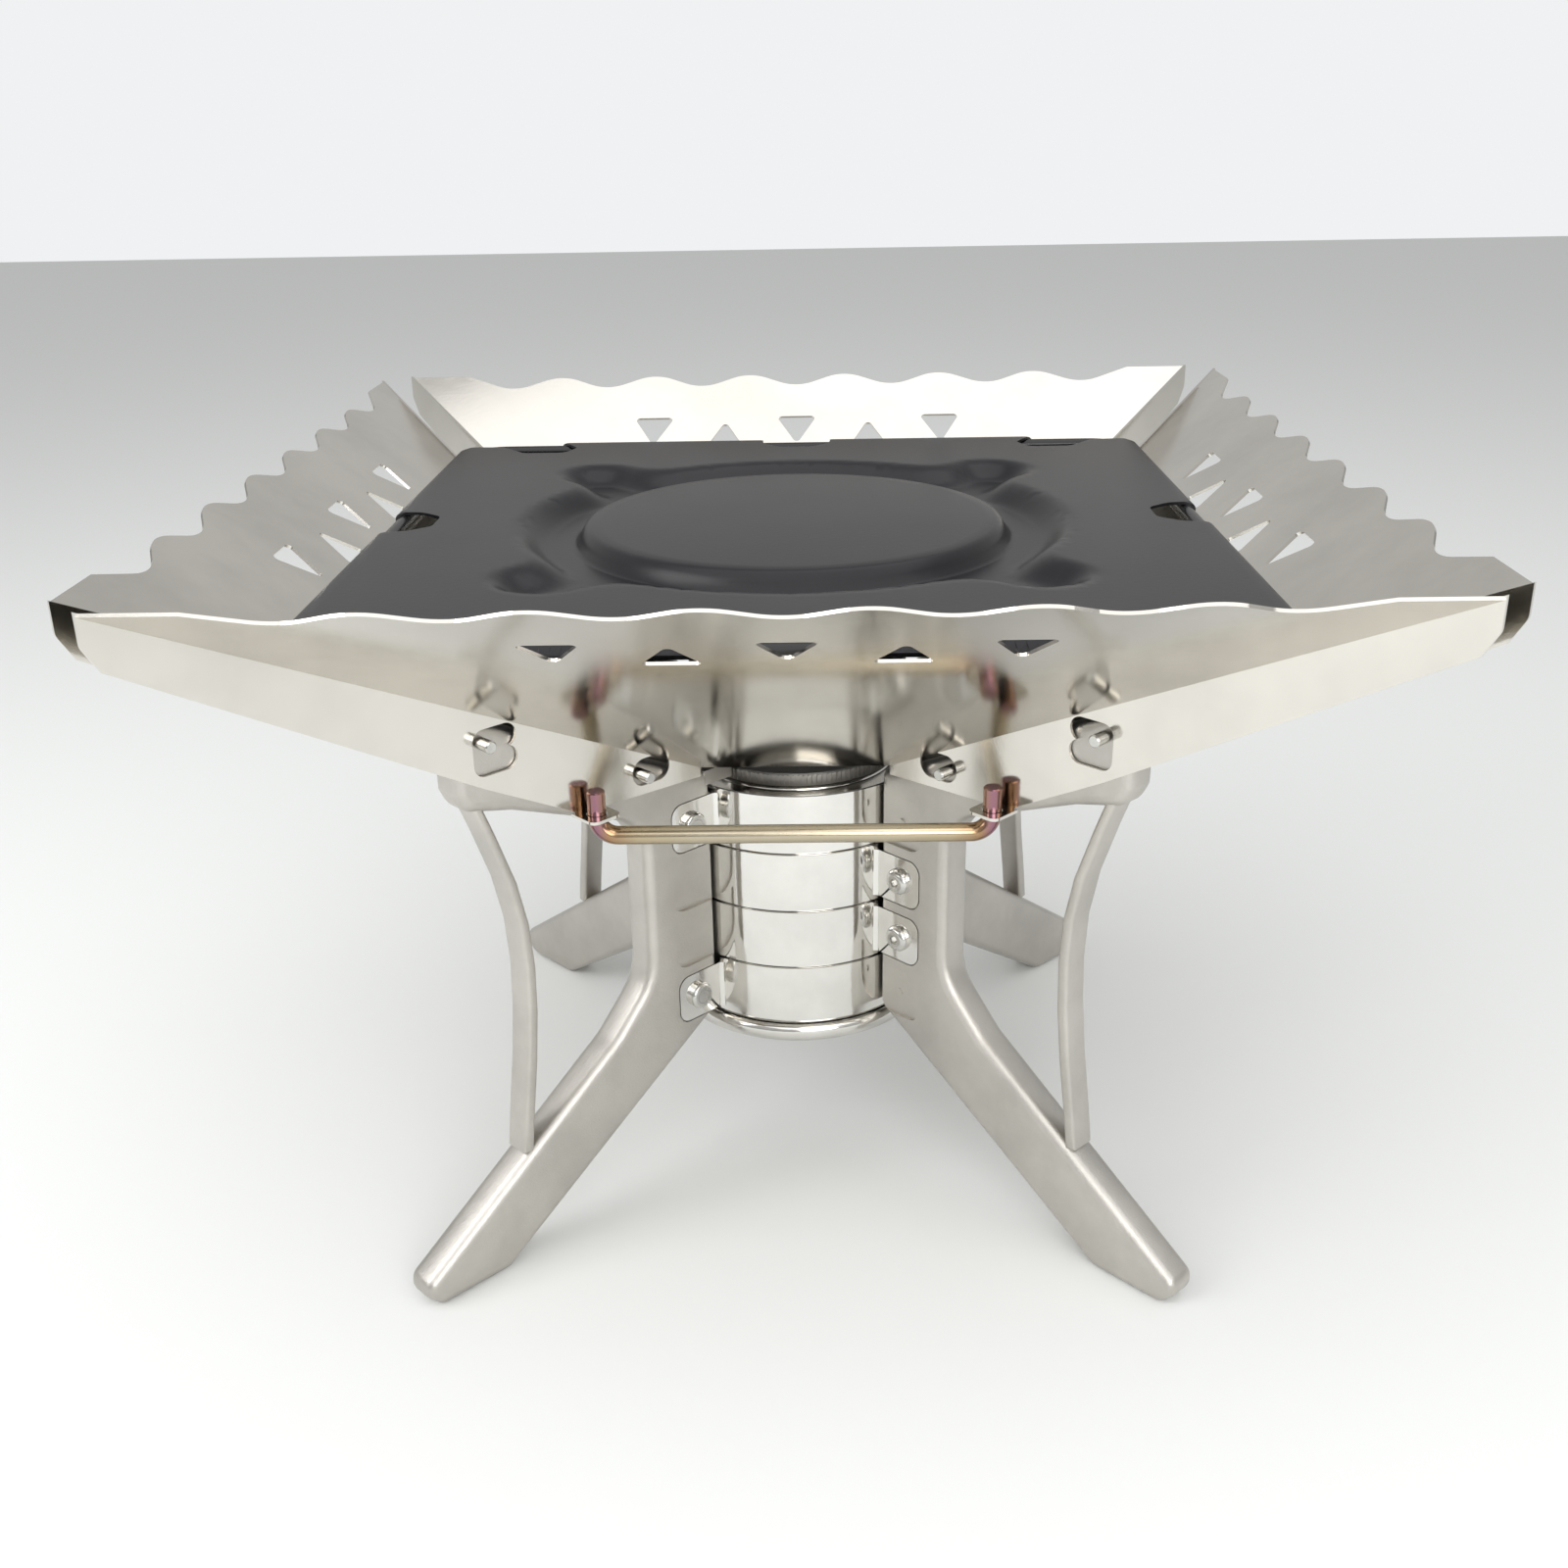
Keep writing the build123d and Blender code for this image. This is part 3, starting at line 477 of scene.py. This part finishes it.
for place, colour in ((0.55, (0.46, 0.38, 0.25)), (0.80, (0.36, 0.22, 0.12)), (0.90, (0.30, 0.15, 0.20))):
    stop = heat.color_ramp.elements.new(place)
    stop.color = colour + (1,)
tree.links.new(reach.outputs[0], heat.inputs[0])
tree.links.new(heat.outputs[0], surface.inputs["Base Color"])
dress(rod_metal, "lock_rod")

# Tray: pressed steel sheet in heat resistant black, with the faint ripple of sprayed paint.
# Its sides roll over a square of round wire, which is glossier.
tray_paint, tree = new_tree("tray_paint")
output = tree.nodes.new("ShaderNodeOutputMaterial")
surface = add_node(tree, "ShaderNodeBsdfPrincipled", Roughness=0.30)
surface.inputs["Specular IOR Level"].default_value = 0.35
tree.links.new(surface.outputs[0], output.inputs["Surface"])
coordinate = tree.nodes.new("ShaderNodeTexCoord")
ripple = add_node(tree, "ShaderNodeTexNoise", Scale=600.0, Detail=2.0)
tree.links.new(coordinate.outputs["Object"], ripple.inputs["Vector"])
bump = add_node(tree, "ShaderNodeBump", Strength=0.12, Distance=0.0002)
tree.links.new(ripple.outputs["Fac"], bump.inputs["Height"])
tree.links.new(bump.outputs[0], surface.inputs["Normal"])
shade = add_node(tree, "ShaderNodeTexNoise", Scale=18.0, Detail=6.0, Roughness=0.65)
tree.links.new(coordinate.outputs["Object"], shade.inputs["Vector"])
tone = tree.nodes.new("ShaderNodeValToRGB")
tone.color_ramp.elements[0].position = 0.35
tone.color_ramp.elements[0].color = (0.006, 0.006, 0.008, 1)
tone.color_ramp.elements[1].position = 0.75
tone.color_ramp.elements[1].color = (0.013, 0.012, 0.015, 1)
tree.links.new(shade.outputs["Fac"], tone.inputs[0])
tree.links.new(tone.outputs[0], surface.inputs["Base Color"])
wire_half = 137.595
hem_radius = 3.4
tray_top = 232.2
edge = wire_half + hem_radius
slot_long, slot_deep = 50.0, 24.0
notch_half, notch_deep = 14.0, 18.0


def tray_height(x, y):
    """Height in mm of the pressed sheet's upper face: flat, a moat, four arms of the moat, and rolled sides."""
    radius = sqrt(x * x + y * y)
    ring = max(abs(radius - 79.5) - 4.5, 0.0)
    along = (abs(x) + abs(y)) / sqrt(2)
    aside = abs(abs(x) - abs(y)) / sqrt(2)
    arm = max(sqrt(max(along - 106.0, 84.0 - along, 0.0) ** 2 + aside ** 2) - 6.0, 0.0)
    blend_width = 14.0
    mix = max(blend_width - abs(ring - arm), 0.0) / blend_width if radius > 79.5 else 0.0
    away = (min(ring, arm) if radius > 79.5 else ring) - mix * mix * blend_width * 0.25
    wall = 11.0 if radius > 79.5 else 5.0
    share = min(max(away / wall, 0.0), 1.0)
    depth = 6.5 * (1.0 - share * share * (3 - 2 * share))
    crown = 1.2 * (1 - min(radius / 72.0, 1.0) ** 2)
    beyond = max(max(abs(x), abs(y)) - wire_half, 0.0)
    roll = hem_radius - sqrt(max(hem_radius ** 2 - min(beyond, hem_radius) ** 2, 0.0))
    return tray_top - depth + crown - roll


def side_of_tray(has_slots):
    """One side of the blank from corner to corner, in mm: X along the side, Y outwards."""
    ends = []
    if has_slots:
        for inwards, depth, radius in ((5.5, 10.0, 3.0), (19.0, 11.0, 4.0), (29.0, slot_deep, 4.0),
                                       (slot_long - 4, slot_deep, 4.0), (slot_long, 14.0, 4.0),
                                       (slot_long - 8, 0.0, 0.8)):
            ends.append((-edge + inwards, edge - depth, radius))
    else:
        ends.append((-edge + 16.0, edge, 3.0))
    middle = [(-notch_half, edge, 1.0), (-notch_half, edge - notch_deep * 0.55, 7.0),
              (-notch_half * 0.5, edge - notch_deep, 5.0)]
    half = ends + middle
    return half + [(-x, y, radius) for x, y, radius in reversed(half)]


corners = []
for quarter in range(4):
    for x, y, radius in side_of_tray(quarter % 2 == 0):
        for _ in range(quarter):
            x, y = y, -x
        corners.append((x, y, radius))
blank = rounded_outline(corners[::-1], step=15.0)
inside_points = []
marks = [k * 3.0 for k in range(-45, 46)] + [s * (wire_half + d) for s in (-1, 1) for d in (0.0, 1.2, 2.2, 2.9)]
for x in marks:
    for y in marks:
        if sqrt(x * x + y * y) > 93.0:
            inside_points.append(Vector((x, y)))
for ring_radius in (12, 24, 36, 48, 58, 65, 69, 71, 72.5, 74, 75, 76, 77.5, 79.5, 82, 84, 85.5, 87, 88.5, 90, 92):
    for k in range(144):
        inside_points.append(Vector((ring_radius * cos(k * pi / 72), ring_radius * sin(k * pi / 72))))
blank_points = []
for start, end in zip(blank, blank[1:] + blank[:1]):
    pieces = max(1, int((end - start).length / 3.0))
    blank_points += [start.lerp(end, round(k / pieces, 4)) for k in range(pieces)]
ring_edges = [(k, (k + 1) % len(blank_points)) for k in range(len(blank_points))]
flat_points, _, triangles, _, _, _ = delaunay_2d_cdt(
    blank_points + inside_points, ring_edges, [list(range(len(blank_points)))], 1, 1e-4)
tray_mesh = bpy.data.meshes.new("tray_pressing")
tray_mesh.from_pydata([(p.x / 1000, p.y / 1000, tray_height(p.x, p.y) / 1000) for p in flat_points], [],
                      [list(t) for t in triangles])
whole = bmesh.new()
whole.from_mesh(tray_mesh)
bmesh.ops.delete(whole, geom=[v for v in whole.verts if not v.link_faces], context="VERTS")
bmesh.ops.recalc_face_normals(whole, faces=whole.faces)
if sum(face.normal.z * face.calc_area() for face in whole.faces) < 0:
    bmesh.ops.reverse_faces(whole, faces=whole.faces)
whole.to_mesh(tray_mesh)
whole.free()
tray_pressing = placed("tray_pressing", tray_mesh, Matrix.Identity(4), tray_paint)
thicken = tray_pressing.modifiers.new("sheet", "SOLIDIFY")
thicken.thickness = 0.001
thicken.offset = -1
bpy.context.view_layer.update()
solid = bpy.data.meshes.new_from_object(tray_pressing.evaluated_get(bpy.context.evaluated_depsgraph_get()))
tray_pressing.modifiers.remove(thicken)
tray_pressing.data = solid
smooth_faces(tray_pressing.data, 40)
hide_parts("tray_plate")
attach(tray_pressing, "tray")
wire_paint, tree = new_tree("wire_paint")
output = tree.nodes.new("ShaderNodeOutputMaterial")
surface = add_node(tree, "ShaderNodeBsdfPrincipled", Base_Color=(0.008, 0.008, 0.009, 1), Roughness=0.22)
tree.links.new(surface.outputs[0], output.inputs["Surface"])
dress(wire_paint, "tray_frame")
